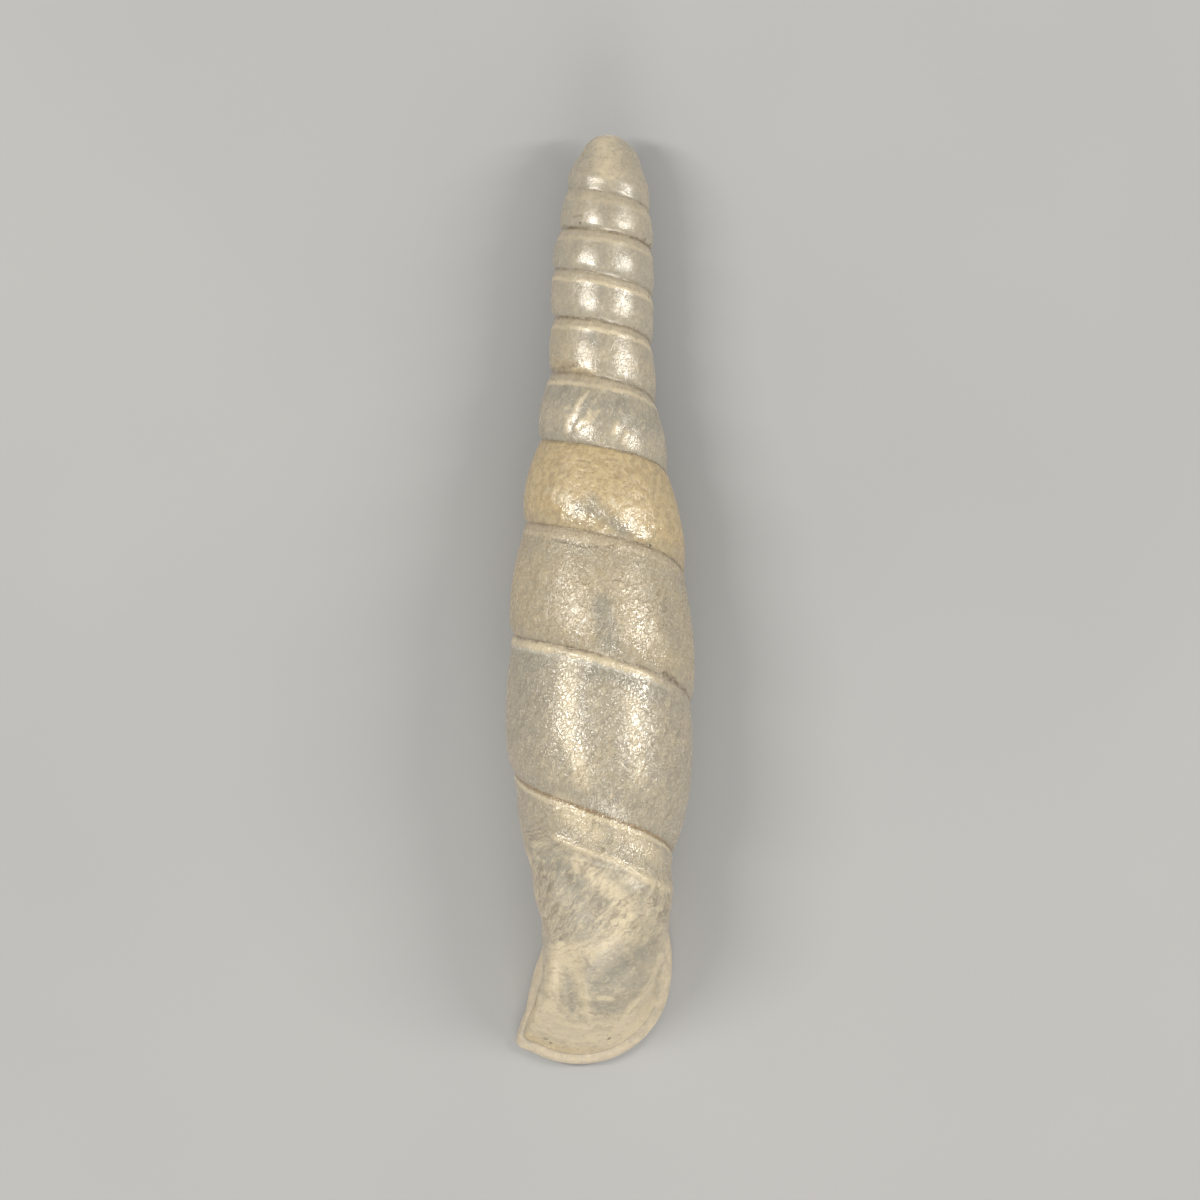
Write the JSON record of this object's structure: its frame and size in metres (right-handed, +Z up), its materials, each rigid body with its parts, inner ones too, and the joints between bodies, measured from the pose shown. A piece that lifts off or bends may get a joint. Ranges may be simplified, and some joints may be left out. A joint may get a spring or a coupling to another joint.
{
  "type": "probosciphaedusa mulini shell",
  "caption": "Slender left-handed door snail shell with a tall coiled spire, a bent neck and a flared mouth; lies on its mouth side.",
  "frame": {"origin": "middle of the bounding box on the surface that the shell lies on", "axes": "+Y along the spire towards its tip, +Z up away from the mouth, +X to the right as seen from the back with the tip up"},
  "size_m": [0.0036, 0.018, 0.0037],
  "materials": {
    "shell": "thin translucent lime shell, pale grey-beige with ochre and cream zones, soft broken gloss"
  },
  "bodies": {
    "root": {"shell": "shell"}
  },
  "joints": []
}
